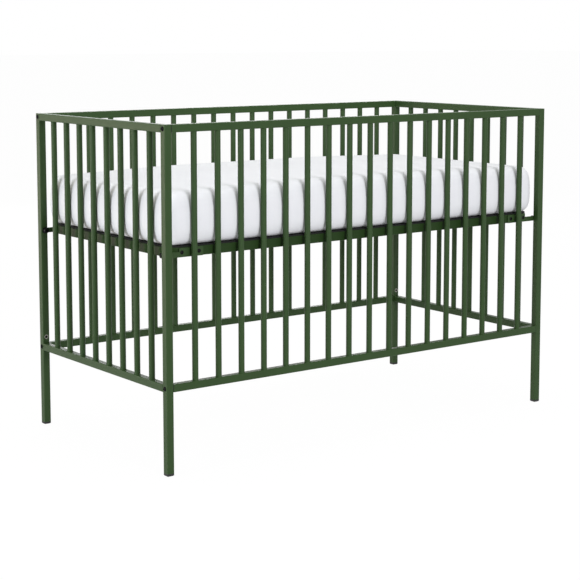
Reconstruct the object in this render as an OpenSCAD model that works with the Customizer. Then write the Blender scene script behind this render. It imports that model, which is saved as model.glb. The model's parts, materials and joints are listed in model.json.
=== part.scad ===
// Free-standing baby cot: a welded and bolted steel tube frame with round bars,
// a height-adjustable slatted base and a thick foam mattress.
// Sizes are in millimetres. X runs along the cot, Y across it and Z up from the floor.

/* [Overall size] */
// length over the corner posts
cot_length = 1262; // [1200:1:1340]
// width over the corner posts
cot_width = 640; // [600:1:700]
// height from the floor to the top of the rails
cot_height = 842; // [780:1:920]

/* [Tube frame] */
// outside size of the square tube for posts and rails
tube = 19; // [17:0.5:22]
// wall thickness of the square tube
tube_wall = 1.2; // [1:0.1:2]
// outside corner radius of the square tube
tube_corner = 1.8; // [1:0.1:3]
// height of the bottom rails' underside above the floor
bottom_rail_z = 203.5; // [150:0.5:260]
// thickness of the steel cap that closes each post
cap_thickness = 2; // [1:0.5:4]
// visible height of the plastic foot under each post
foot_height = 6; // [4:0.5:15]
// length of the plug that goes up into the post
foot_plug_length = 16; // [10:1:30]

/* [Bars] */
// diameter of the round bars
bar_diameter = 15; // [12:0.5:16]
// wall thickness of the round bars
bar_wall = 1; // [0.8:0.1:1.5]
// number of bars in each long side
side_bars = 17; // [15:1:19]
// number of bars in each short end
end_bars = 8; // [7:1:9]
// clear gap between a post and the first bar of a long side
side_first_gap = 60.5; // [50:0.5:64]
// clear gap between a post and the first bar of a short end
end_first_gap = 55.5; // [50:0.5:64]

/* [Side panel joints] */
// thread diameter of the bolts that hold the long sides
panel_bolt = 6; // [5:1:8]
// head diameter of those bolts
panel_head = 12; // [10:0.5:15]
// head height of those bolts
panel_head_height = 3.4; // [2.5:0.1:5]
// thickness of the black plug flange seen between rail and post
plug_flange = 1.2; // [0.8:0.1:2]
// depth of the plug inside the rail
plug_depth = 24; // [16:1:40]

/* [Mattress base] */
// height of the four base bolts above the floor, base in its upper position
base_bolt_z = 530; // [450:1:560]
// gap left under the base in its lower position, down to the bottom rails
low_gap = 11; // [6:0.5:40]
// gap between each end of the base and the inside of the end rails
base_end_gap = 7; // [4:0.5:12]
// outside radius of the base's bent corners
base_corner = 38; // [34:1:44]
// height of the base's rectangular tube
base_rail_height = 23; // [20:0.5:30]
// width of the base's rectangular tube
base_rail_width = 15; // [12:0.5:20]
// thickness of the corner lugs
lug_thickness = 3; // [2:0.5:5]
// height of the narrow end of a lug, round the bolt
lug_neck = 13; // [12:0.5:18]
// length of the narrow end of a lug, up to the post
lug_neck_length = 32; // [30:0.5:36]
// clearance between each lug and the post it slides past
lug_clearance = 0.5; // [0.3:0.1:1]
// length of a lug's wide part along the base rail
lug_length = 68; // [60:1:80]
// thread diameter of the base bolts
base_bolt = 8; // [6:1:10]
// head diameter of the base bolts
base_head = 13; // [10:0.5:16]
// head height of the base bolts
base_head_height = 10; // [6:0.5:12]
// thickness of the rubber edge strip on top of the base rails
edge_strip = 3; // [2:0.5:5]
// width of that strip, which reaches in under the mattress
edge_strip_width = 28; // [20:1:32]

/* [Slats] */
// number of wooden slats
slat_count = 11; // [9:1:12]
// slat width
slat_width = 56; // [45:1:60]
// slat thickness
slat_thickness = 5; // [4:0.5:8]
// wall of the moulded holder around a slat's end
holder_wall = 1.25; // [1:0.05:2]
// height of a holder on the inside of the base rail
holder_height = 19; // [14:0.5:22]
// how far a slat goes into its holder
slat_bearing = 19.5; // [14:0.5:24]

/* [Mattress] */
// mattress thickness at the crown
mattress_height = 140; // [90:1:150]
// gap between the mattress and the inside of each long side's rails
mattress_side_gap = 0.5; // [0.3:0.1:10]
// gap between the mattress and the inside of each end's rails
mattress_end_gap = 1.5; // [0.3:0.1:20]
// plan radius of the mattress corners
mattress_corner = 30; // [25:1:50]
// rise of the crown above the rounded top edge
mattress_crown = 6; // [2:0.5:12]
// height of the sides' widest line above the underside
widest_height = 54; // [30:1:60]
// how far the sides are drawn in at the underside
low_inset = 26; // [15:1:30]
// how far the sides are drawn in at the top
top_inset = 33; // [20:1:40]
// how deep the sides are drawn in where they meet a bar
press_depth = 3; // [0:0.5:8]
// how square the sides' profile is: 2 is an ellipse, more is flatter
side_square = 2.5; // [2:0.1:3]
// how far the top edge drops towards the two ends
end_droop = 6; // [0:0.5:12]

/* [Hidden] */
eps = 0.01;
half_x = cot_length / 2 - tube / 2;
half_y = cot_width / 2 - tube / 2;
in_x = cot_length / 2 - tube;
in_y = cot_width / 2 - tube;
inner = tube - 2 * tube_wall;
plug = inner - 0.4;
bottom_axis_z = bottom_rail_z + tube / 2;
bottom_top_z = bottom_rail_z + tube;
top_axis_z = cot_height - tube / 2;
top_under_z = cot_height - tube;
post_top_z = cot_height - cap_thickness;
bar_length = top_under_z - bottom_top_z;
side_pitch = (2 * (in_x - side_first_gap) - bar_diameter) / (side_bars - 1);
end_pitch = (2 * (in_y - end_first_gap) - bar_diameter) / (end_bars - 1);
panel_hole = panel_bolt + 0.6;
bolt_grip = tube + plug_flange + plug_depth - 6;
steel = [0.24, 0.32, 0.22];
black = [0.04, 0.045, 0.04];

base_under_z = base_bolt_z - lug_neck / 2;
base_top_z = base_under_z + base_rail_height;
base_travel = base_under_z - bottom_top_z - low_gap;
lug_out_y = in_y - lug_clearance;
base_y = lug_out_y - lug_thickness;
base_x = in_x - base_end_gap;
insert_outside = base_bolt + 3;
insert_length = 12;
washer_thickness = 1.6;
washer_outside = base_head + 3;
rivet_head = lug_clearance + (tube - bar_diameter) / 2 - 0.5;
wide_x = in_x - lug_neck_length;
rivet_x = wide_x - 7;
rivet_tail = 1.6;
straight_x = base_x - base_corner;
rivet_pitch = lug_length - 19;
rivet_z = base_under_z + base_rail_height / 2;
bed_z = base_top_z + edge_strip;
slat_z = bed_z - holder_wall - 0.1 - slat_thickness;
rail_in_y = base_y - base_rail_width;
holder_width = slat_width + 0.4 + 5;
holder_out_y = base_y - 1 - edge_strip_width;
slat_out_y = holder_out_y - 4;
holder_in_y = slat_out_y - slat_bearing;
slat_pitch = (2 * (straight_x - 1) - holder_width) / (slat_count - 1);
peg = 6;
peg_z = base_top_z - base_rail_height / 2 + 1;

bed_x = in_x - mattress_end_gap;
bed_y = in_y - mattress_side_gap;
// each row: how far the ring is drawn in, its height, how much of the bar presses and of the droop shows
edge_rings = [
  for (a = [-90, -57, -30, 0, 15, 29, 49, 70, 90])
    let (low = a < 0)
    let (out = pow(cos(a), 2 / side_square), up = pow(abs(sin(a)), 2 / side_square))
    [(low ? low_inset : top_inset) * (1 - out),
     widest_height + (low ? -widest_height : mattress_height - mattress_crown - widest_height) * up,
     pow(cos(a * 0.93), 0.8),
     low ? 0 : up]
];

module rounded_rect(w, h, r) {
  square([w - 2 * r, h], center = true);
  square([w, h - 2 * r], center = true);
  for (x = [-1, 1], y = [-1, 1])
    translate([x * (w / 2 - r), y * (h / 2 - r)])
      circle(r = r, $fn = 48);
}

module tube_section(w, h, r, wall) {
  difference() {
    rounded_rect(w, h, r);
    square([w - 2 * wall, h - 2 * wall], center = true);
  }
}

// square tube along Z, starting at the origin
module square_tube(length) {
  linear_extrude(height = length)
    tube_section(tube, tube, tube_corner, tube_wall);
}

module corners() {
  for (sx = [-1, 1], sy = [-1, 1])
    translate([sx * half_x, sy * half_y, 0])
      children();
}

// sx and sy are the corner's signs; the bolt holes go through along X, the insert holes face inwards
module post(sx, sy) {
  color(steel)
    difference() {
      translate([sx * half_x, sy * half_y, foot_height])
        square_tube(post_top_z - foot_height);
      for (z = [bottom_axis_z, top_axis_z])
        translate([sx * half_x, sy * half_y, z])
          rotate([0, 90, 0])
            cylinder(d = panel_hole, h = tube + 2, center = true, $fn = 48);
      for (z = [base_bolt_z, base_bolt_z - base_travel])
        translate([sx * half_x, sy * (in_y + tube_wall / 2), z])
          rotate([90, 0, 0])
            cylinder(d = insert_outside, h = tube_wall + 1, center = true, $fn = 48);
    }
}

module post_front_left() { post(-1, -1); }
module post_back_left() { post(-1, 1); }
module post_front_right() { post(1, -1); }
module post_back_right() { post(1, 1); }

module post_caps() {
  color(steel)
    corners()
      translate([0, 0, post_top_z])
        linear_extrude(height = cap_thickness)
          rounded_rect(tube, tube, tube_corner);
}

// foot plug: a stepped glide under the tube with a ribless stem inside it
module foot_plugs() {
  color(black)
    corners() {
      translate([0, 0, 1.2])
        linear_extrude(height = foot_height - 1.2)
          rounded_rect(tube, tube, tube_corner);
      linear_extrude(height = 1.2)
        rounded_rect(tube - 2.4, tube - 2.4, tube_corner);
      translate([0, 0, foot_height])
        linear_extrude(height = foot_plug_length)
          rounded_rect(plug, plug, 1);
    }
}

module end_rail(sx, z) {
  color(steel)
    translate([sx * half_x, in_y, z])
      rotate([90, 0, 0])
        square_tube(2 * in_y);
}

module left_top_rail() { end_rail(-1, top_axis_z); }
module left_bottom_rail() { end_rail(-1, bottom_axis_z); }
module right_top_rail() { end_rail(1, top_axis_z); }
module right_bottom_rail() { end_rail(1, bottom_axis_z); }

// round tube, butt welded between the bottom and the top rail
module bar() {
  linear_extrude(height = bar_length)
    difference() {
      circle(d = bar_diameter, $fn = 64);
      circle(d = bar_diameter - 2 * bar_wall, $fn = 64);
    }
}

module end_bar_row(sx) {
  color(steel)
    for (i = [0 : end_bars - 1])
      translate([sx * half_x, (i - (end_bars - 1) / 2) * end_pitch, bottom_top_z])
        bar();
}

module left_end_bars() { end_bar_row(-1); }
module right_end_bars() { end_bar_row(1); }

module side_rail(sy, z) {
  color(steel)
    translate([-(in_x - plug_flange), sy * half_y, z])
      rotate([90, 0, 90])
        square_tube(2 * (in_x - plug_flange));
}

module front_top_rail() { side_rail(-1, top_axis_z); }
module front_bottom_rail() { side_rail(-1, bottom_axis_z); }
module back_top_rail() { side_rail(1, top_axis_z); }
module back_bottom_rail() { side_rail(1, bottom_axis_z); }

module side_bar_row(sy) {
  color(steel)
    for (i = [0 : side_bars - 1])
      translate([(i - (side_bars - 1) / 2) * side_pitch, sy * half_y, bottom_top_z])
        bar();
}

module front_bars() { side_bar_row(-1); }
module back_bars() { side_bar_row(1); }

// places children at each joint of a long rail with a post, with +Z pointing into the rail
module panel_joints() {
  for (sx = [-1, 1], sy = [-1, 1], z = [bottom_axis_z, top_axis_z])
    translate([sx * in_x, sy * half_y, z])
      rotate([0, -90 * sx, 0])
        children();
}

// plug in the rail's end, with the nut thread for the panel bolt
module rail_end_plugs() {
  color(black)
    panel_joints()
      difference() {
        union() {
          linear_extrude(height = plug_flange)
            rounded_rect(tube - 0.8, tube - 0.8, tube_corner);
          translate([0, 0, plug_flange])
            linear_extrude(height = plug_depth)
              rounded_rect(plug, plug, 1);
        }
        translate([0, 0, -1])
          cylinder(d = panel_bolt + 0.1, h = plug_flange + plug_depth - 4 + 1, $fn = 48);
      }
}

// button head with a hexagon socket; the shank goes up along +Z from the head's flat
module button_bolt(d, head_d, head_h, length) {
  ball = (head_d * head_d / 4 + head_h * head_h) / (2 * head_h);
  difference() {
    intersection() {
      translate([0, 0, ball - head_h])
        sphere(r = ball, $fn = 64);
      translate([0, 0, -head_h - 1])
        cylinder(d = head_d + 2, h = head_h + 1, $fn = 48);
    }
    translate([0, 0, -head_h - 1])
      cylinder(d = d * 0.72, h = head_h * 0.6 + 1, $fn = 6);
  }
  cylinder(d = d, h = length, $fn = 48);
}

module panel_bolts() {
  color(black)
    panel_joints()
      translate([0, 0, -tube])
        button_bolt(panel_bolt, panel_head, panel_head_height, bolt_grip);
}

// places children on the posts' inward faces at a height, with +Z pointing into the post
module base_points(z) {
  for (sx = [-1, 1], sy = [-1, 1])
    translate([sx * half_x, sy * in_y, z])
      rotate([-90 * sy, 0, 0])
        children();
}

module base_inserts() {
  color([0.55, 0.55, 0.52])
    for (z = [base_bolt_z, base_bolt_z - base_travel])
      base_points(z)
        difference() {
          cylinder(d = insert_outside, h = insert_length, $fn = 48);
          translate([0, 0, -1])
            cylinder(d = base_bolt + 0.1, h = insert_length + 2, $fn = 48);
        }
}

// section of the base's tube, with its outer side at x = out
module base_section(out) {
  translate([out - base_rail_width / 2, base_under_z + base_rail_height / 2])
    tube_section(base_rail_width, base_rail_height, 1.5, 1.2);
}

// straight length of the base's tube along X, with its outer side at y = out
module base_tube(length, out) {
  translate([-length / 2, 0, 0])
    rotate([90, 0, 90])
      linear_extrude(height = length)
        base_section(out);
}

module rivet_holes() {
  for (sx = [-1, 1], sy = [-1, 1], dx = [0, rivet_pitch])
    translate([sx * (rivet_x - dx), sy * base_y, rivet_z])
      rotate([90, 0, 0])
        cylinder(d = 5.1, h = 6, center = true, $fn = 32);
}

module long_base_rail() {
  difference() {
    base_tube(2 * straight_x, base_y);
    for (i = [0 : slat_count - 1])
      translate([(i - (slat_count - 1) / 2) * slat_pitch, rail_in_y - 1, peg_z])
        rotate([-90, 0, 0])
          cylinder(d = peg + 0.2, h = 4, $fn = 48);
    rivet_holes();
  }
}

// end of the base, bent round at both corners to meet the long rails
module base_end() {
  difference() {
    union() {
      rotate([0, 0, -90])
        base_tube(2 * (base_y - base_corner), base_x);
      translate([straight_x, base_y - base_corner, 0])
        rotate_extrude(angle = 90, $fn = 128)
          base_section(base_corner);
      translate([straight_x, base_corner - base_y, 0])
        rotate([0, 0, -90])
          rotate_extrude(angle = 90, $fn = 128)
            base_section(base_corner);
    }
    rivet_holes();
  }
}

module base_back_rail() { color(steel) long_base_rail(); }
module base_front_rail() { color(steel) rotate([0, 0, 180]) long_base_rail(); }
module base_left_rail() { color(steel) rotate([0, 0, 180]) base_end(); }
module base_right_rail() { color(steel) base_end(); }

// flat lug riveted to the long rail; its narrow end reaches along to the post's inward face
module lug_outline() {
  wide_h = base_rail_height - 1;
  difference() {
    union() {
      translate([wide_x - lug_length / 2, base_under_z + wide_h / 2])
        rounded_rect(lug_length, wide_h, 2);
      translate([wide_x - 4, base_under_z])
        square([half_x - wide_x + 4, lug_neck]);
      translate([half_x, base_bolt_z])
        circle(d = lug_neck, $fn = 64);
    }
    translate([half_x, base_bolt_z])
      circle(d = base_bolt + 0.5, $fn = 48);
    for (dx = [0, rivet_pitch])
      translate([rivet_x - dx, rivet_z])
        circle(d = 5.1, $fn = 32);
  }
}

module base_lugs() {
  color(steel)
    for (sx = [-1, 1], sy = [-1, 1])
      mirror([sx < 0 ? 1 : 0, 0, 0])
        translate([0, sy > 0 ? lug_out_y : -base_y, 0])
          rotate([90, 0, 0])
            linear_extrude(height = lug_thickness)
              lug_outline();
}

// domed rivet through the lug and the rail's wall, with its tail spread inside the tube
module lug_rivets() {
  head_d = 10;
  ball = (head_d * head_d / 4 + rivet_head * rivet_head) / (2 * rivet_head);
  color(black)
    for (sx = [-1, 1], sy = [-1, 1], dx = [0, rivet_pitch])
      translate([sx * (rivet_x - dx), sy * lug_out_y, rivet_z])
        rotate([90 * sy, 0, 0]) {
          intersection() {
            translate([0, 0, ball - rivet_head])
              sphere(r = ball, $fn = 64);
            translate([0, 0, -rivet_head - 1])
              cylinder(d = head_d + 2, h = rivet_head + 1, $fn = 48);
          }
          cylinder(d = 5, h = lug_thickness + 1.2 + rivet_tail + 1, $fn = 32);
          translate([0, 0, lug_thickness + 1.2 + rivet_tail])
            cylinder(d = 7.5, h = 2.6, $fn = 32);
        }
}

module base_washers() {
  color(black)
    base_points(base_bolt_z)
      translate([0, 0, -lug_clearance - lug_thickness - washer_thickness])
        difference() {
          cylinder(d = washer_outside, h = washer_thickness, $fn = 48);
          translate([0, 0, -1])
            cylinder(d = base_bolt + 0.4, h = washer_thickness + 2, $fn = 48);
        }
}

// cap screw with a hexagon socket; the shank goes up along +Z from under the head
module cap_screw(d, head_d, head_h, length) {
  difference() {
    union() {
      translate([0, 0, -head_h + 0.6])
        cylinder(d = head_d, h = head_h - 0.6, $fn = 64);
      translate([0, 0, -head_h])
        cylinder(d1 = head_d - 1.2, d2 = head_d, h = 0.6, $fn = 64);
    }
    translate([0, 0, -head_h - 1])
      cylinder(d = d * 0.86, h = head_h * 0.5 + 1, $fn = 6);
  }
  cylinder(d = d, h = length, $fn = 48);
}

// base bolts, drawn backed out to the post's face so that the base can change height
module base_bolts() {
  stack = lug_clearance + lug_thickness + washer_thickness;
  color(black)
    base_points(base_bolt_z)
      translate([0, 0, -stack])
        cap_screw(base_bolt, base_head, base_head_height, stack - lug_clearance + 0.2);
}

// rubber strip all round on top of the base's tube, under the mattress
module base_edge_strip() {
  color(black)
    translate([0, 0, base_top_z])
      linear_extrude(height = edge_strip)
        difference() {
          rounded_rect(2 * (base_x - 1), 2 * (base_y - 1), base_corner - 1);
          rounded_rect(2 * (base_x - 1 - edge_strip_width), 2 * (base_y - 1 - edge_strip_width),
            max(base_corner - 1 - edge_strip_width, 3));
        }
}

// moulded slat holders: a plate with a peg in the rail, a shelf under the edge strip, then the pocket
module slat_holders() {
  block = slat_thickness + 2 * holder_wall + 0.2;
  plate = 3;
  color(black)
    for (i = [0 : slat_count - 1], sy = [-1, 1])
      translate([(i - (slat_count - 1) / 2) * slat_pitch, 0, 0])
        mirror([0, sy < 0 ? 1 : 0, 0]) {
          difference() {
            translate([0, (holder_in_y + holder_out_y) / 2, bed_z - block])
              linear_extrude(height = block)
                rounded_rect(holder_width, holder_out_y - holder_in_y, 2);
            translate([-slat_width / 2 - 0.2, holder_in_y - 1, slat_z - 0.1])
              cube([slat_width + 0.4, slat_out_y - holder_in_y + 1.3, slat_thickness + 0.2]);
          }
          translate([-holder_width / 2 + 6, rail_in_y - plate, bed_z - holder_height])
            cube([holder_width - 12, plate, base_top_z - 0.1 - bed_z + holder_height]);
          translate([-holder_width / 2 + 6, holder_out_y - plate, base_top_z - 0.1 - plate])
            cube([holder_width - 12, rail_in_y - holder_out_y + plate, plate]);
          translate([0, rail_in_y - eps, peg_z])
            rotate([-90, 0, 0])
              cylinder(d = peg, h = 4.5, $fn = 48);
        }
}

module slats() {
  color([0.82, 0.7, 0.52])
    for (i = [0 : slat_count - 1])
      translate([(i - (slat_count - 1) / 2) * slat_pitch, 0, slat_z])
        linear_extrude(height = slat_thickness)
          rounded_rect(slat_width, 2 * slat_out_y, 3);
}

// one quarter turn of ring points: a corner arc, then the side that follows it
function bar_marks(count, pitch) = [
  for (k = [0 : 2 * count - 2])
    [(k - (count - 1)) * pitch / 2, k % 2 == 0 ? 1 : 0]
];
function side_points(marks, half, out, depth, squeeze) = [
  for (m = marks)
    [m[0] * squeeze, out - depth * m[1]]
];
function turned(points, angle) = [
  for (p = points)
    [p[0] * cos(angle) - p[1] * sin(angle), p[0] * sin(angle) + p[1] * cos(angle)]
];
function backwards(points) = [for (k = [len(points) - 1 : -1 : 0]) points[k]];
function corner_arc(cx, cy, r, from) = [
  for (k = [0 : 3])
    [cx + r * cos(from + 30 * k), cy + r * sin(from + 30 * k)]
];
function droop(x, share) = end_droop * share * pow(min(abs(x) / bed_x, 1), 3);
function ring(inset, z, depth, squeeze, share) =
  let (
    r = max(mattress_corner - inset * 0.7, 6),
    ax = bed_x - inset,
    ay = bed_y - inset,
    long = backwards(side_points(bar_marks(side_bars, side_pitch), 0, ay, depth, squeeze[0])),
    short = backwards(side_points(bar_marks(end_bars, end_pitch), 0, ax, depth, squeeze[1])),
    flat = concat(
      corner_arc(ax - r, ay - r, r, 0),
      long,
      corner_arc(r - ax, ay - r, r, 90),
      turned(short, 90),
      corner_arc(r - ax, r - ay, r, 180),
      turned(long, 180),
      corner_arc(ax - r, r - ay, r, 270),
      turned(short, 270)
    )
  )
  [for (p = flat) [p[0], p[1], z - droop(p[0], share)]];

module mattress() {
  crown_inset = 0.45 * bed_y;
  rings = concat(
    [for (e = edge_rings) ring(e[0], bed_z + e[1], press_depth * e[2], [1, 1], e[3])],
    [ring(crown_inset, bed_z + mattress_height - mattress_crown * 0.12, 0,
      [(bed_x - crown_inset) / bed_x, (bed_y - crown_inset) / bed_y], 0.8)]
  );
  n = len(rings[0]);
  last = len(rings) - 1;
  points = concat(
    [for (r = rings, p = r) p],
    [[0, 0, bed_z], [0, 0, bed_z + mattress_height]]
  );
  faces = concat(
    [for (k = [0 : n - 1]) [n * len(rings), k, (k + 1) % n]],
    [for (j = [0 : last - 1], k = [0 : n - 1])
      each [
        [j * n + k, (j + 1) * n + k, (j + 1) * n + (k + 1) % n],
        [j * n + k, (j + 1) * n + (k + 1) % n, j * n + (k + 1) % n]
      ]],
    [for (k = [0 : n - 1]) [n * len(rings) + 1, last * n + (k + 1) % n, last * n + k]]
  );
  color([0.95, 0.95, 0.96])
    polyhedron(points = points, faces = faces, convexity = 6);
}

post_front_left();
post_back_left();
post_front_right();
post_back_right();
post_caps();
foot_plugs();
left_top_rail();
left_bottom_rail();
right_top_rail();
right_bottom_rail();
left_end_bars();
right_end_bars();
front_top_rail();
front_bottom_rail();
back_top_rail();
back_bottom_rail();
front_bars();
back_bars();
rail_end_plugs();
panel_bolts();
base_inserts();
base_front_rail();
base_back_rail();
base_left_rail();
base_right_rail();
base_lugs();
lug_rivets();
base_bolts();
base_washers();
base_edge_strip();
slat_holders();
slats();
mattress();
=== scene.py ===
# Baby cot: a powder-coated steel tube frame with round bars, a slatted base and a soft white mattress.
import bpy
import bmesh
import json
import math
from mathutils import Matrix, Vector

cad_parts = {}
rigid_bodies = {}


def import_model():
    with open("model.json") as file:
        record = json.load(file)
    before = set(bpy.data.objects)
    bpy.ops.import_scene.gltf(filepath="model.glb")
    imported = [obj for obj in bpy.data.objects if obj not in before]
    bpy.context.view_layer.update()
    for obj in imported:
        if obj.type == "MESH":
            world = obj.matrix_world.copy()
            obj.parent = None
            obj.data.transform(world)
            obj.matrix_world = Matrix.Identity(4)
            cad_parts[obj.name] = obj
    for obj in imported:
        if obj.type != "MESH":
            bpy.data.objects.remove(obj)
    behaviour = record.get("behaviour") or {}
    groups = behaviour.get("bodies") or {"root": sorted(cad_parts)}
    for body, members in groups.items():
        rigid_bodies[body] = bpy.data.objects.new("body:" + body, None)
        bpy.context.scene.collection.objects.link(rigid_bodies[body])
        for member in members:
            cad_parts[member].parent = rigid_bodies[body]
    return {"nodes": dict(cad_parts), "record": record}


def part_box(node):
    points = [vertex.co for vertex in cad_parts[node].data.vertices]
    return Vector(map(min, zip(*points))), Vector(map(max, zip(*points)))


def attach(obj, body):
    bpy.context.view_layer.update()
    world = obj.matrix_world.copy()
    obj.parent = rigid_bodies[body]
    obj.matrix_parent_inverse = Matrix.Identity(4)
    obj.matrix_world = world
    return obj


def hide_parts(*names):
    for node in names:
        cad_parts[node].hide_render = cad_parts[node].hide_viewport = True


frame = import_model()
bpy.context.view_layer.update()
nodes = frame["nodes"]
print("frame loaded:", len(nodes), "parts")


def srgbToLinear(hexColour):
    parts = [int(hexColour[i:i + 2], 16) / 255 for i in (1, 3, 5)]
    return [c / 12.92 if c <= 0.04045 else ((c + 0.055) / 1.055) ** 2.4 for c in parts] + [1.0]


def addNode(tree, kind, values=None, links=None, **settings):
    node = tree.nodes.new(kind)
    for key, value in settings.items():
        setattr(node, key, value)
    for key, value in (values or {}).items():
        node.inputs[key].default_value = value
    for key, source in (links or {}).items():
        tree.links.new(source, node.inputs[key])
    return node


def startMaterial(name):
    material = bpy.data.materials.new(name)
    material.use_nodes = True
    tree = material.node_tree
    tree.nodes.clear()
    place = addNode(tree, "ShaderNodeTexCoord").outputs["Object"]
    return material, tree, place


def closeMaterial(tree, values, links):
    shader = addNode(tree, "ShaderNodeBsdfPrincipled", values, links)
    addNode(tree, "ShaderNodeOutputMaterial", links={"Surface": shader.outputs["BSDF"]})


def perMm(size):
    return 1000.0 / size  # texture scale for a pattern that repeats every so many millimetres


def smoothStep(low, high, value):
    t = min(1.0, max(0.0, (value - low) / (high - low)))
    return t * t * (3 - 2 * t)


def meshPiece(name, bm, body, material):
    mesh = bpy.data.meshes.new(name)
    bm.to_mesh(mesh)
    bm.free()
    piece = bpy.data.objects.new(name, mesh)
    bpy.context.scene.collection.objects.link(piece)
    for face in mesh.polygons:
        face.use_smooth = True
    mesh.materials.append(material)
    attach(piece, body)
    return piece


# Satin powder coat on steel: sprayed and baked, so it is even in colour, has a fine
# orange-peel surface and a soft sheen with no sharp reflections.
paintSet = {
    "colour": "#324b25",
    "thin": "#2c4321",     # where the coat is thinner it looks a little darker
    "cloud": 70.0,         # size of the slow changes in colour, mm
    "peel": 2.2,           # orange-peel size, mm; the real one is nearer 1 mm, drawn coarser to show
    "peelDepth": 0.00003,
    "rough": (0.38, 0.48),
    "specular": 0.22,
}
# The base's tubes have the same coat. This copy is painted darker and duller as painted shade, for the shade
# they sit in under the mattress.
baseShadedPaintSet = dict(paintSet, colour="#283f1c", thin="#223817", specular=0.12)


def powderCoatedSteel(name, s):
    material, tree, place = startMaterial(name)
    cloud = addNode(tree, "ShaderNodeTexNoise", {"Scale": perMm(s["cloud"]), "Detail": 3.0}, {"Vector": place})
    tint = addNode(tree, "ShaderNodeMix", {"A": srgbToLinear(s["colour"]), "B": srgbToLinear(s["thin"])},
                   {"Factor": cloud.outputs["Fac"]}, data_type="RGBA")
    peel = addNode(tree, "ShaderNodeTexNoise", {"Scale": perMm(s["peel"]), "Detail": 2.0, "Roughness": 0.4},
                   {"Vector": place})
    rough = addNode(tree, "ShaderNodeMapRange", {"To Min": s["rough"][0], "To Max": s["rough"][1]},
                    {"Value": peel.outputs["Fac"]})
    bump = addNode(tree, "ShaderNodeBump", {"Strength": 0.5, "Distance": s["peelDepth"]},
                   {"Height": peel.outputs["Fac"]})
    closeMaterial(tree, {"Specular IOR Level": s["specular"]},
                  {"Base Color": tint.outputs["Result"], "Roughness": rough.outputs["Result"],
                   "Normal": bump.outputs["Normal"]})
    return material


# Black nylon: injection moulded against a spark-eroded tool, so it is matt with a fine grain.
nylonSet = {
    "colour": "#1b1d1b",
    "worn": "#262826",
    "cloud": 18.0,         # size of the paler patches, mm
    "grain": 0.9,          # tool texture, mm
    "grainDepth": 0.00003,
    "rough": (0.5, 0.68),
}


def mouldedNylon(s):
    material, tree, place = startMaterial("moulded nylon")
    grain = addNode(tree, "ShaderNodeTexNoise", {"Scale": perMm(s["grain"]), "Detail": 3.0}, {"Vector": place})
    cloud = addNode(tree, "ShaderNodeTexNoise", {"Scale": perMm(s["cloud"])}, {"Vector": place})
    tint = addNode(tree, "ShaderNodeMix", {"A": srgbToLinear(s["colour"]), "B": srgbToLinear(s["worn"])},
                   {"Factor": cloud.outputs["Fac"]}, data_type="RGBA")
    rough = addNode(tree, "ShaderNodeMapRange", {"To Min": s["rough"][0], "To Max": s["rough"][1]},
                    {"Value": grain.outputs["Fac"]})
    bump = addNode(tree, "ShaderNodeBump", {"Strength": 0.6, "Distance": s["grainDepth"]},
                   {"Height": grain.outputs["Fac"]})
    closeMaterial(tree, {"Specular IOR Level": 0.4},
                  {"Base Color": tint.outputs["Result"], "Roughness": rough.outputs["Result"],
                   "Normal": bump.outputs["Normal"]})
    return material


# Extruded rubber edge strip: very dark and dull, with faint paler patches of bloom.
rubberSet = {
    "colour": "#111211",
    "bloom": "#1c1d1b",
    "patch": 30.0,         # size of a patch, mm
    "rough": (0.7, 0.85),
}


def extrudedRubber(s):
    material, tree, place = startMaterial("extruded rubber")
    patch = addNode(tree, "ShaderNodeTexNoise", {"Scale": perMm(s["patch"]), "Detail": 4.0}, {"Vector": place})
    tint = addNode(tree, "ShaderNodeMix", {"A": srgbToLinear(s["colour"]), "B": srgbToLinear(s["bloom"])},
                   {"Factor": patch.outputs["Fac"]}, data_type="RGBA")
    rough = addNode(tree, "ShaderNodeMapRange", {"To Min": s["rough"][0], "To Max": s["rough"][1]},
                    {"Value": patch.outputs["Fac"]})
    closeMaterial(tree, {"Specular IOR Level": 0.25},
                  {"Base Color": tint.outputs["Result"], "Roughness": rough.outputs["Result"]})
    return material


# Steel screws and rivets with a black oxide finish: a dark metal with small barer specks.
fastenerSet = {
    "colour": "#0e0f0e",
    "bare": "#252523",
    "grain": 1.2,          # size of the specks, mm
    "rough": (0.42, 0.58),
}


def blackOxideSteel(s):
    material, tree, place = startMaterial("black oxide steel")
    grain = addNode(tree, "ShaderNodeTexNoise", {"Scale": perMm(s["grain"]), "Detail": 4.0}, {"Vector": place})
    worn = addNode(tree, "ShaderNodeMapRange", {"From Min": 0.58, "From Max": 0.75, "To Max": 0.5},
                   {"Value": grain.outputs["Fac"]})
    tint = addNode(tree, "ShaderNodeMix", {"A": srgbToLinear(s["colour"]), "B": srgbToLinear(s["bare"])},
                   {"Factor": worn.outputs["Result"]}, data_type="RGBA")
    rough = addNode(tree, "ShaderNodeMapRange", {"To Min": s["rough"][0], "To Max": s["rough"][1]},
                    {"Value": grain.outputs["Fac"]})
    closeMaterial(tree, {"Metallic": 0.4, "Specular IOR Level": 0.12},
                  {"Base Color": tint.outputs["Result"], "Roughness": rough.outputs["Result"]})
    return material


# Zinc-plated steel inserts: pale grey metal with the faint mottling of a barrel-plated part.
insertSet = {
    "light": "#bcbab2",
    "dark": "#95948d",
    "spangle": 2.5,        # size of the mottling, mm
    "rough": (0.28, 0.42),
}


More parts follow.
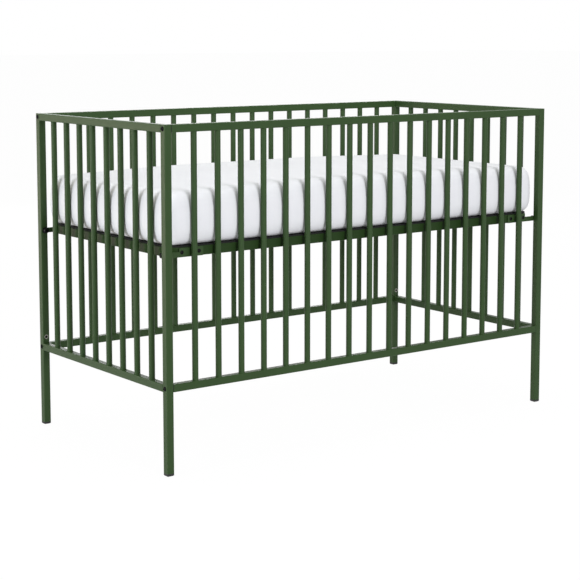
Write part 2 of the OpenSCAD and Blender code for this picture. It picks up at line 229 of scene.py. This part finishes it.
def zincPlatedSteel(s):
    material, tree, place = startMaterial("zinc-plated steel")
    spangle = addNode(tree, "ShaderNodeTexVoronoi", {"Scale": perMm(s["spangle"])}, {"Vector": place})
    tint = addNode(tree, "ShaderNodeMix", {"A": srgbToLinear(s["light"]), "B": srgbToLinear(s["dark"])},
                   {"Factor": spangle.outputs["Distance"]}, data_type="RGBA")
    rough = addNode(tree, "ShaderNodeMapRange", {"To Min": s["rough"][0], "To Max": s["rough"][1]},
                    {"Value": spangle.outputs["Distance"]})
    closeMaterial(tree, {"Metallic": 1.0},
                  {"Base Color": tint.outputs["Result"], "Roughness": rough.outputs["Result"]})
    return material


# Lacquered beech laths: straight warm grain along the lath, short dark flecks, a dull lacquer.
lathSet = {
    "early": "#d9b98c",
    "late": "#bd9463",
    "fleck": "#8d6238",
    "ring": 7.0,           # width of one light or one dark band, mm
    "waveFactor": 6.3,     # turns that width into the wave texture's own scale
    "ringStretch": 0.05,   # the bands run nearly straight along the lath
    "fleckSize": 1.6,      # width of a fleck, mm
    "fleckLength": 12,     # its length, in widths
    "fleckDepth": 0.0001,
    "rough": (0.42, 0.55),
}


def lacqueredBeech(s):
    material, tree, place = startMaterial("lacquered beech")
    along = addNode(tree, "ShaderNodeMapping", {"Scale": (1.0, s["ringStretch"], 1.0)}, {"Vector": place})
    ring = addNode(tree, "ShaderNodeTexWave",
                   {"Scale": perMm(s["ring"]) / s["waveFactor"], "Distortion": 5.0, "Detail": 3.0,
                    "Detail Scale": 1.4},
                   {"Vector": along.outputs["Vector"]}, bands_direction="X")
    grain = addNode(tree, "ShaderNodeMix", {"A": srgbToLinear(s["early"]), "B": srgbToLinear(s["late"])},
                    {"Factor": ring.outputs["Fac"]}, data_type="RGBA")
    stretched = addNode(tree, "ShaderNodeMapping", {"Scale": (1.0, 1 / s["fleckLength"], 1.0)},
                        {"Vector": place})
    fleck = addNode(tree, "ShaderNodeTexNoise", {"Scale": perMm(s["fleckSize"]), "Detail": 2.0},
                    {"Vector": stretched.outputs["Vector"]})
    fleckMask = addNode(tree, "ShaderNodeMapRange", {"From Min": 0.6, "From Max": 0.72, "To Max": 0.55},
                        {"Value": fleck.outputs["Fac"]})
    tint = addNode(tree, "ShaderNodeMix", {"B": srgbToLinear(s["fleck"])},
                   {"Factor": fleckMask.outputs["Result"], "A": grain.outputs["Result"]}, data_type="RGBA")
    rough = addNode(tree, "ShaderNodeMapRange", {"To Min": s["rough"][0], "To Max": s["rough"][1]},
                    {"Value": fleck.outputs["Fac"]})
    bump = addNode(tree, "ShaderNodeBump", {"Strength": 0.4, "Distance": s["fleckDepth"]},
                   {"Height": fleck.outputs["Fac"]})
    closeMaterial(tree, {"Specular IOR Level": 0.4},
                  {"Base Color": tint.outputs["Result"], "Roughness": rough.outputs["Result"],
                   "Normal": bump.outputs["Normal"]})
    return material


# Knitted polyester cover: bright white with a soft sheen at glancing angles and a small cell-like knit, whose
# hollows are painted a little darker as painted shade.
coverSet = {
    "colour": "#f6f7f9",
    "hollowShade": "#edeef2",
    "knit": 3.0,           # knit cell, mm; the real one is about 1 mm, drawn coarser to show
    "knitDepth": 0.00018,
    "cloud": 45.0,         # size of the slow changes in how strong the knit's painted shade is, mm
    "rough": 0.9,
    "sheen": 0.25,
}


def knittedPolyester(s):
    material, tree, place = startMaterial("knitted polyester")
    knit = addNode(tree, "ShaderNodeTexVoronoi", {"Scale": perMm(s["knit"]), "Randomness": 0.35},
                   {"Vector": place})
    cloud = addNode(tree, "ShaderNodeTexNoise", {"Scale": perMm(s["cloud"]), "Detail": 4.0}, {"Vector": place})
    # painted shade: the knit's hollows are coloured darker, more so where the cloud is high
    shade = addNode(tree, "ShaderNodeMath", links={0: knit.outputs["Distance"], 1: cloud.outputs["Fac"]},
                    operation="MULTIPLY")
    tint = addNode(tree, "ShaderNodeMix", {"A": srgbToLinear(s["colour"]), "B": srgbToLinear(s["hollowShade"])},
                   {"Factor": shade.outputs["Value"]}, data_type="RGBA")
    bump = addNode(tree, "ShaderNodeBump", {"Strength": 0.5, "Distance": s["knitDepth"]},
                   {"Height": knit.outputs["Distance"]}, invert=True)
    closeMaterial(tree, {"Roughness": s["rough"], "Sheen Weight": s["sheen"], "Sheen Roughness": 0.5,
                         "Specular IOR Level": 0.25},
                  {"Base Color": tint.outputs["Result"], "Normal": bump.outputs["Normal"]})
    return material


paint = powderCoatedSteel("powder-coated steel", paintSet)
baseShadedPaint = powderCoatedSteel("powder-coated steel, base in painted shade", baseShadedPaintSet)
nylon = mouldedNylon(nylonSet)
rubber = extrudedRubber(rubberSet)
blackSteel = blackOxideSteel(fastenerSet)
zinc = zincPlatedSteel(insertSet)
beech = lacqueredBeech(lathSet)
cover = knittedPolyester(coverSet)
print("materials made")

finishes = {
    "frame_paint": paint, "black_nylon": nylon, "black_rubber": rubber, "blackened_steel": blackSteel,
    "zinc_inserts": zinc, "slat_wood": beech, "mattress_cover": cover,
}
for row in frame["record"]["subparts"]:
    for holder in nodes[row["node"]].material_slots:
        holder.material = finishes[row["material_slot"]]
# the base rails get the copy of the paint that carries painted shade
for railName in ("base_front_rail", "base_back_rail", "base_left_rail", "base_right_rail"):
    for holder in nodes[railName].material_slots:
        holder.material = baseShadedPaint
print("finishes put on the parts")


weldSet = {
    "barRadius": 0.0075,
    "leg": 0.0014,         # how far the bead reaches up the bar and out over the tube
    "sink": 0.0003,        # how far its top lies inside the bar
    "root": 0.0002,        # and its foot inside the tube
    "waist": (0.45, 0.42),  # its hollow middle, in legs out and up
    "around": 16,
    "tube": 0.019,
    "tubeCorner": 0.0018,
}
barGap = 0.02              # points further apart than this belong to two bars


def barCentres(nodeName):
    low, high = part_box(nodeName)
    alongX = high.x - low.x > high.y - low.y
    axis = 0 if alongX else 1
    marks = sorted({round(v.co[axis], 4) for v in nodes[nodeName].data.vertices})
    groups, last = [], None
    for m in marks:
        if last is None or m - last > barGap:
            groups.append([m, m])
        groups[-1][1] = last = m
    middle = (low + high) / 2
    out = []
    for first, final in groups:
        point = Vector(middle)
        point[axis] = (first + final) / 2
        out.append((point.x, point.y))
    return out, low.z, high.z, 1 - axis


def weldBead(s, acrossAxis):
    bm = bmesh.new()
    r, leg = s["barRadius"], s["leg"]
    waistOut, waistUp = s["waist"]
    points = ((r - s["sink"], 0, leg), (r + leg * waistOut, 0, leg * waistUp), (r + leg, 0, -s["root"]))
    profile = [bm.verts.new(p) for p in points]
    edges = [bm.edges.new(profile[i:i + 2]) for i in (0, 1)]
    bmesh.ops.spin(bm, geom=profile + edges, cent=(0, 0, 0), axis=(0, 0, 1), angle=2 * math.pi,
                   steps=s["around"], use_merge=True, use_duplicate=False)
    bmesh.ops.remove_doubles(bm, verts=bm.verts, dist=1e-5)
    bmesh.ops.recalc_face_normals(bm, faces=bm.faces)
    flat = s["tube"] / 2 - s["tubeCorner"]
    for v in bm.verts:
        over = abs(v.co[acrossAxis]) - flat      # follows the tube's rounded edge down
        if over > 0:
            v.co.z -= s["tubeCorner"] - math.sqrt(max(0.0, s["tubeCorner"] ** 2 - over ** 2))
    return bm


def weldRow(name, nodeName):
    centres, low, high, across = barCentres(nodeName)
    one = bpy.data.meshes.new(name + "_one")
    source = weldBead(weldSet, across)
    source.to_mesh(one)
    source.free()
    bm = bmesh.new()
    for x, y in centres:
        for z, turn in ((low, 0.0), (high, math.pi)):
            start = len(bm.verts)
            bm.from_mesh(one)
            bm.verts.ensure_lookup_table()
            fresh = bm.verts[start:]
            bmesh.ops.rotate(bm, verts=fresh, cent=(0, 0, 0), matrix=Matrix.Rotation(turn, 3, "X"))
            bmesh.ops.translate(bm, verts=fresh, vec=(x, y, z))
    bpy.data.meshes.remove(one)
    return meshPiece(name, bm, "cot_frame", paint)


for side in ("front", "back", "left_end", "right_end"):
    weldRow(side + "_bar_welds", side + "_bars")
print("welds made")


mattressSet = {
    "pressedY": 0.3022,    # where the long sides' bars hold the cover in
    "pressedX": 0.6132,    # and the ends' bars
    "bulge": 0.0018,       # how far the cover stands out between two bars
    "start": 0.0008,       # how much smaller the cover starts, before it swells
    "crease": 0.0045,      # half width of the crease at a bar
    "creaseLine": 0.001,   # half width of its deepest line
    "creaseFade": 1.8,     # how fast it fades over the top edge
    "columns": (0.0, 0.0016, 0.0032, 0.005, 0.01),  # the mesh's lines on each side of a bar
    "cutMargin": 0.0015,   # no line is cut closer to the rounded edge
    "edge": 0.033,         # width of the rounded edge, seen from above
    "edgeSteps": 8,
    "spine": 0.004,        # what the thin block has between its two rounded edges
    "square": 2.6,         # 2 rounds the sides to an ellipse, more makes them flatter
    "lowShare": 0.4,       # height of the side's widest line, as a share of the thickness
    "crown": 0.006,
    "crownReach": (0.6, 0.9),  # how far in the crown rises, as shares of the half length and half width
    "rise": 0.0015,        # the top edge is a little higher along the middle
    "droop": 0.0075,       # and lower at the two ends
    "droopFrom": (0.2, 0.6),
    "topBand": 0.03,       # what counts as the top face
    "restBand": 0.004,     # what lies on the laths
    "foam": (0.02, 0.07),  # from here inwards the foam keeps the top flat
    "holdFrom": 0.6,       # a point that is pressed in more than this stays put
    "play": (0.0003, 0.001),   # what is left free below, and what it may rise above, the mattress's box
}
clothSet = {
    "quality": 6,
    "mass": 0.3,
    "stiffness": 18,
    "shear": 6,
    "bending": 0.6,
    "pin": 3,
    "pressure": 8.0,
    "frames": 20,
    "cap": 0.0009,         # no point moves further than this, m
}


def mattressFit(s):
    low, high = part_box("mattress")
    return {
        "low": low.z,
        "high": high.z,
        "half": (s["pressedX"] + s["bulge"] - s["start"], s["pressedY"] + s["bulge"] - s["start"]),
        "bars": (sorted(c[0] for c in barCentres("front_bars")[0]),
                 sorted(c[1] for c in barCentres("left_end_bars")[0])),
    }


def mattressBlock(s, fit):
    low, high, edge = fit["low"], fit["high"], s["edge"]
    block = edge * 2 + s["spine"]
    bm = bmesh.new()
    bmesh.ops.create_cube(bm, size=1.0)
    bmesh.ops.scale(bm, vec=(2 * fit["half"][0], 2 * fit["half"][1], block), verts=bm.verts)
    bmesh.ops.bevel(bm, geom=bm.edges[:], offset=edge, offset_type="OFFSET", segments=s["edgeSteps"],
                    profile=0.5, affect="EDGES", material=-1, clamp_overlap=False)
    for axis, centres in enumerate(fit["bars"]):
        pitch = centres[1] - centres[0]
        cuts = set()
        for c in centres:
            for d in s["columns"]:
                cuts.update((round(c - d, 6), round(c + d, 6)))
            cuts.update((round(c - pitch / 2, 6), round(c + pitch / 2, 6)))
        for c in sorted(cuts):
            if abs(c) > fit["half"][axis] - edge - s["cutMargin"]:
                continue
            point, normal = [0, 0, 0], [0, 0, 0]
            point[axis], normal[axis] = c, 1
            bmesh.ops.bisect_plane(bm, geom=bm.verts[:] + bm.edges[:] + bm.faces[:], dist=1e-6,
                                   plane_co=point, plane_no=normal)
    # stretch the thin block to the real thickness: a long upper curve over a short lower one
    thick = high - low
    middle = low + thick * s["lowShare"]
    for v in bm.verts:
        up = min(1.0, abs(v.co.z) / (block / 2))
        up = (1 - (1 - up * up) ** (s["square"] / 2)) ** (1 / s["square"])
        if v.co.z > 0:
            lift = s["rise"] - s["droop"] * smoothStep(*s["droopFrom"], abs(v.co.x))
            v.co.z = middle + up * (high - s["crown"] + lift - middle)
        else:
            v.co.z = middle - up * (middle - low)
    return bm


def pressShare(s, fit, v):
    # how strongly a bar holds this point in: 1 on a bar's line at the side, fading over the top edge
    (hx, hy), (barsX, barsY) = fit["half"], fit["bars"]
    best = 0.0
    for across, along, half, bars in ((v.y, v.x, hy, barsX), (v.x, v.y, hx, barsY)):
        inset = (half - abs(across)) / s["edge"]
        if inset < 1:
            near = min(abs(along - b) for b in bars)
            line = 1 - smoothStep(s["creaseLine"], s["crease"], near)
            best = max(best, line * (1 - max(0.0, inset)) ** s["creaseFade"])
    return best


def makeMattress(s):
    fit = mattressFit(s)
    hx, hy = fit["half"]
    bm = mattressBlock(s, fit)
    print("mattress block:", len(bm.verts), "points")
    for v in bm.verts:
        press = pressShare(s, fit, v.co) * (s["bulge"] - s["start"])
        sideX, sideY = abs(v.co.x) > hx - s["edge"], abs(v.co.y) > hy - s["edge"]
        if sideY:
            v.co.y -= math.copysign(press, v.co.y)
        if sideX:
            v.co.x -= math.copysign(press, v.co.x)
        reachX, reachY = hx * s["crownReach"][0], hy * s["crownReach"][1]
        reach = min(1.0, max(0.0, min((hx - abs(v.co.x)) / reachX, (hy - abs(v.co.y)) / reachY)))
        if v.co.z > fit["high"] - s["topBand"]:
            v.co.z += (s["crown"] - s["rise"]) * math.sin(reach * math.pi / 2)
    piece = meshPiece("mattress_cover", bm, "mattress", cover)
    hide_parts("mattress")
    swell(piece, s, clothSet, fit)
    finishMattress(piece, s, fit)
    return piece


def swell(piece, s, c, fit):
    mesh = piece.data
    hx, hy = fit["half"]
    start = [v.co.copy() for v in mesh.vertices]
    hold = piece.vertex_groups.new(name="held")
    for v in mesh.vertices:
        inward = min(hx - abs(v.co.x), hy - abs(v.co.y))
        weight = pressShare(s, fit, v.co)
        weight = 1.0 if weight > s["holdFrom"] else weight
        if v.co.z < fit["low"] + s["restBand"]:
            weight = 1.0
        if v.co.z > fit["high"] - s["topBand"]:
            weight = max(weight, smoothStep(*s["foam"], inward))
        hold.add([v.index], weight, "REPLACE")
    body = piece.parent
    piece.parent = None
    cloth = piece.modifiers.new("swell", "CLOTH")
    settings = cloth.settings
    settings.quality = c["quality"]
    settings.mass = c["mass"]
    settings.tension_stiffness = settings.compression_stiffness = c["stiffness"]
    settings.shear_stiffness = c["shear"]
    settings.bending_stiffness = c["bending"]
    settings.use_pressure = True
    settings.uniform_pressure_force = c["pressure"]
    settings.effector_weights.gravity = 0
    settings.vertex_group_mass = "held"
    settings.pin_stiffness = c["pin"]
    cloth.point_cache.frame_start = 1
    cloth.point_cache.frame_end = c["frames"]
    scene = bpy.context.scene
    for f in range(1, c["frames"] + 1):
        scene.frame_set(f)
    depsgraph = bpy.context.evaluated_depsgraph_get()
    swollen = [v.co.copy() for v in piece.evaluated_get(depsgraph).to_mesh().vertices]
    piece.modifiers.remove(cloth)
    scene.frame_set(1)
    largest = 0.0
    for v, a, b in zip(mesh.vertices, start, swollen):
        move = b - a
        largest = max(largest, move.length)
        if move.length > 1e-7:
            move *= c["cap"] * math.tanh(move.length / c["cap"]) / move.length
        v.co = a + move
    piece.vertex_groups.clear()
    piece.parent = body
    print("mattress swelled by up to %.1f mm" % (largest * 1000))


def finishMattress(piece, s, fit):
    limitX, limitY = s["pressedX"] + s["bulge"], s["pressedY"] + s["bulge"]
    below, above = s["play"]
    for v in piece.data.vertices:
        v.co.x = min(limitX, max(-limitX, v.co.x))
        v.co.y = min(limitY, max(-limitY, v.co.y))
        v.co.z = min(fit["high"] + above, max(fit["low"] + below, v.co.z))
    fine = piece.modifiers.new("fine", "SUBSURF")
    fine.levels = fine.render_levels = 1
    depsgraph = bpy.context.evaluated_depsgraph_get()
    smooth = bpy.data.meshes.new_from_object(piece.evaluated_get(depsgraph))
    piece.modifiers.remove(fine)
    smooth.name = "mattress_cover"
    piece.data = smooth
    for face in smooth.polygons:
        face.use_smooth = True


makeMattress(mattressSet)
print("mattress made")


stageSet = {
    "floor": "#c8c8c8",
    "floorSize": 60,
    "floorSink": 0.0005,   # the floor lies this far under the feet
    "backdrop": 1.0,       # how bright the world looks
    "fill": 0.32,          # and how much it lights the object
    "glow": 1.03,
    "floorGlow": 0.95,     # share of the floor's look that is plain white, so that shadows stay faint
}


def seenDirectly(tree):
    # 1 where the backdrop is looked at, also in a reflection or through glass; 0 where it gives light
    rays = addNode(tree, "ShaderNodeLightPath").outputs
    seen = addNode(tree, "ShaderNodeMath", links={0: rays["Is Camera Ray"], 1: rays["Is Glossy Ray"]},
                   operation="MAXIMUM")
    return addNode(tree, "ShaderNodeMath", links={0: seen.outputs["Value"], 1: rays["Is Transmission Ray"]},
                   operation="MAXIMUM").outputs["Value"]


def paleFloor(s):
    bm = bmesh.new()
    bmesh.ops.create_grid(bm, x_segments=2, y_segments=2, size=s["floorSize"])
    bmesh.ops.translate(bm, vec=(0, 0, -s["floorSink"]), verts=bm.verts)
    mesh = bpy.data.meshes.new("floor")
    bm.to_mesh(mesh)
    bm.free()
    floor = bpy.data.objects.new("floor", mesh)
    bpy.context.scene.collection.objects.link(floor)
    material = bpy.data.materials.new("matt white floor")
    material.use_nodes = True
    tree = material.node_tree
    tree.nodes.clear()
    matt = addNode(tree, "ShaderNodeBsdfDiffuse", {"Color": srgbToLinear(s["floor"])})
    glow = addNode(tree, "ShaderNodeEmission", {"Color": (1, 1, 1, 1), "Strength": s["glow"]})
    share = addNode(tree, "ShaderNodeMath", {1: s["floorGlow"]}, {0: seenDirectly(tree)}, operation="MULTIPLY")
    mixed = addNode(tree, "ShaderNodeMixShader",
                    links={0: share.outputs["Value"], 1: matt.outputs["BSDF"], 2: glow.outputs["Emission"]})
    addNode(tree, "ShaderNodeOutputMaterial", links={"Surface": mixed.outputs["Shader"]})
    mesh.materials.append(material)


def whiteWorld(s):
    world = bpy.data.worlds.new("studio")
    bpy.context.scene.world = world
    world.use_nodes = True
    tree = world.node_tree
    tree.nodes.clear()
    fill = addNode(tree, "ShaderNodeBackground", {"Color": (1, 1, 1, 1), "Strength": s["fill"]})
    white = addNode(tree, "ShaderNodeBackground", {"Color": (1, 1, 1, 1), "Strength": s["backdrop"]})
    mixed = addNode(tree, "ShaderNodeMixShader",
                    links={0: seenDirectly(tree), 1: fill.outputs["Background"],
                           2: white.outputs["Background"]})
    addNode(tree, "ShaderNodeOutputWorld", links={"Surface": mixed.outputs["Shader"]})


# The front softbox shines nearly straight along +Y, so the bars' shadows on the mattress stay behind
# the bars. The back right one gives the rails' top faces their pale line.
lampSet = [
    {"name": "left softbox", "place": (-4.3, -0.5, 1.0), "aim": (0, 0, 0.5), "size": (2.0, 1.8),
     "power": 80, "colour": "#f9faff"},
    {"name": "low back softbox", "place": (-3.2, 3.2, 0.27), "aim": (0, 0, 0.25), "size": (2.6, 0.5),
     "power": 25, "colour": "#ffefd6"},
    {"name": "back right softbox", "place": (2.6, 4.8, 1.4), "aim": (0, 0, 0.8), "size": (3.0, 0.8),
     "power": 36, "colour": "#ffffff"},
    {"name": "front softbox", "place": (-0.6, -6.2, 2.6), "aim": (0, 0, 0.5), "size": (2.4, 1.8),
     "power": 216, "colour": "#fbfbff"},
    {"name": "top softbox", "place": (0.2, 0.2, 4.2), "aim": (0, 0, 0.5), "size": (3.0, 2.4),
     "power": 71, "colour": "#ffffff"},
]


def addLamp(s):
    data = bpy.data.lights.new(s["name"], "AREA")
    data.shape = "RECTANGLE"
    data.size, data.size_y = s["size"]
    data.energy = s["power"]
    data.color = srgbToLinear(s["colour"])[:3]
    lamp = bpy.data.objects.new(s["name"], data)
    bpy.context.scene.collection.objects.link(lamp)
    lamp.location = s["place"]
    lamp.rotation_mode = "QUATERNION"
    lamp.rotation_quaternion = (Vector(s["aim"]) - Vector(s["place"])).to_track_quat("-Z", "Y")


cameraSet = {
    "place": (-2.534, -3.346, 1.058),
    "yaw": 36.913,         # degrees from +Y towards +X
    "pitch": 6.605,        # degrees below level
    "sensor": 36,
    "focalPixels": 1532,   # focal length in pixels of a frame this wide
    "framePixels": 580,
    "shift": (-0.0028, -0.14),
    "clip": (0.05, 200),
}


def addCamera(s):
    data = bpy.data.cameras.new("camera")
    data.lens = s["sensor"] * s["focalPixels"] / s["framePixels"]
    data.sensor_width = s["sensor"]
    data.shift_x, data.shift_y = s["shift"]
    data.clip_start, data.clip_end = s["clip"]
    camera = bpy.data.objects.new("camera", data)
    bpy.context.scene.collection.objects.link(camera)
    camera.location = s["place"]
    camera.rotation_euler = (math.radians(90 - s["pitch"]), 0, -math.radians(s["yaw"]))
    bpy.context.scene.camera = camera


paleFloor(stageSet)
whiteWorld(stageSet)
for lampData in lampSet:
    addLamp(lampData)
addCamera(cameraSet)
bpy.context.scene.view_settings.view_transform = "Standard"
print("stage, lights and camera made")

bpy.context.view_layer.update()
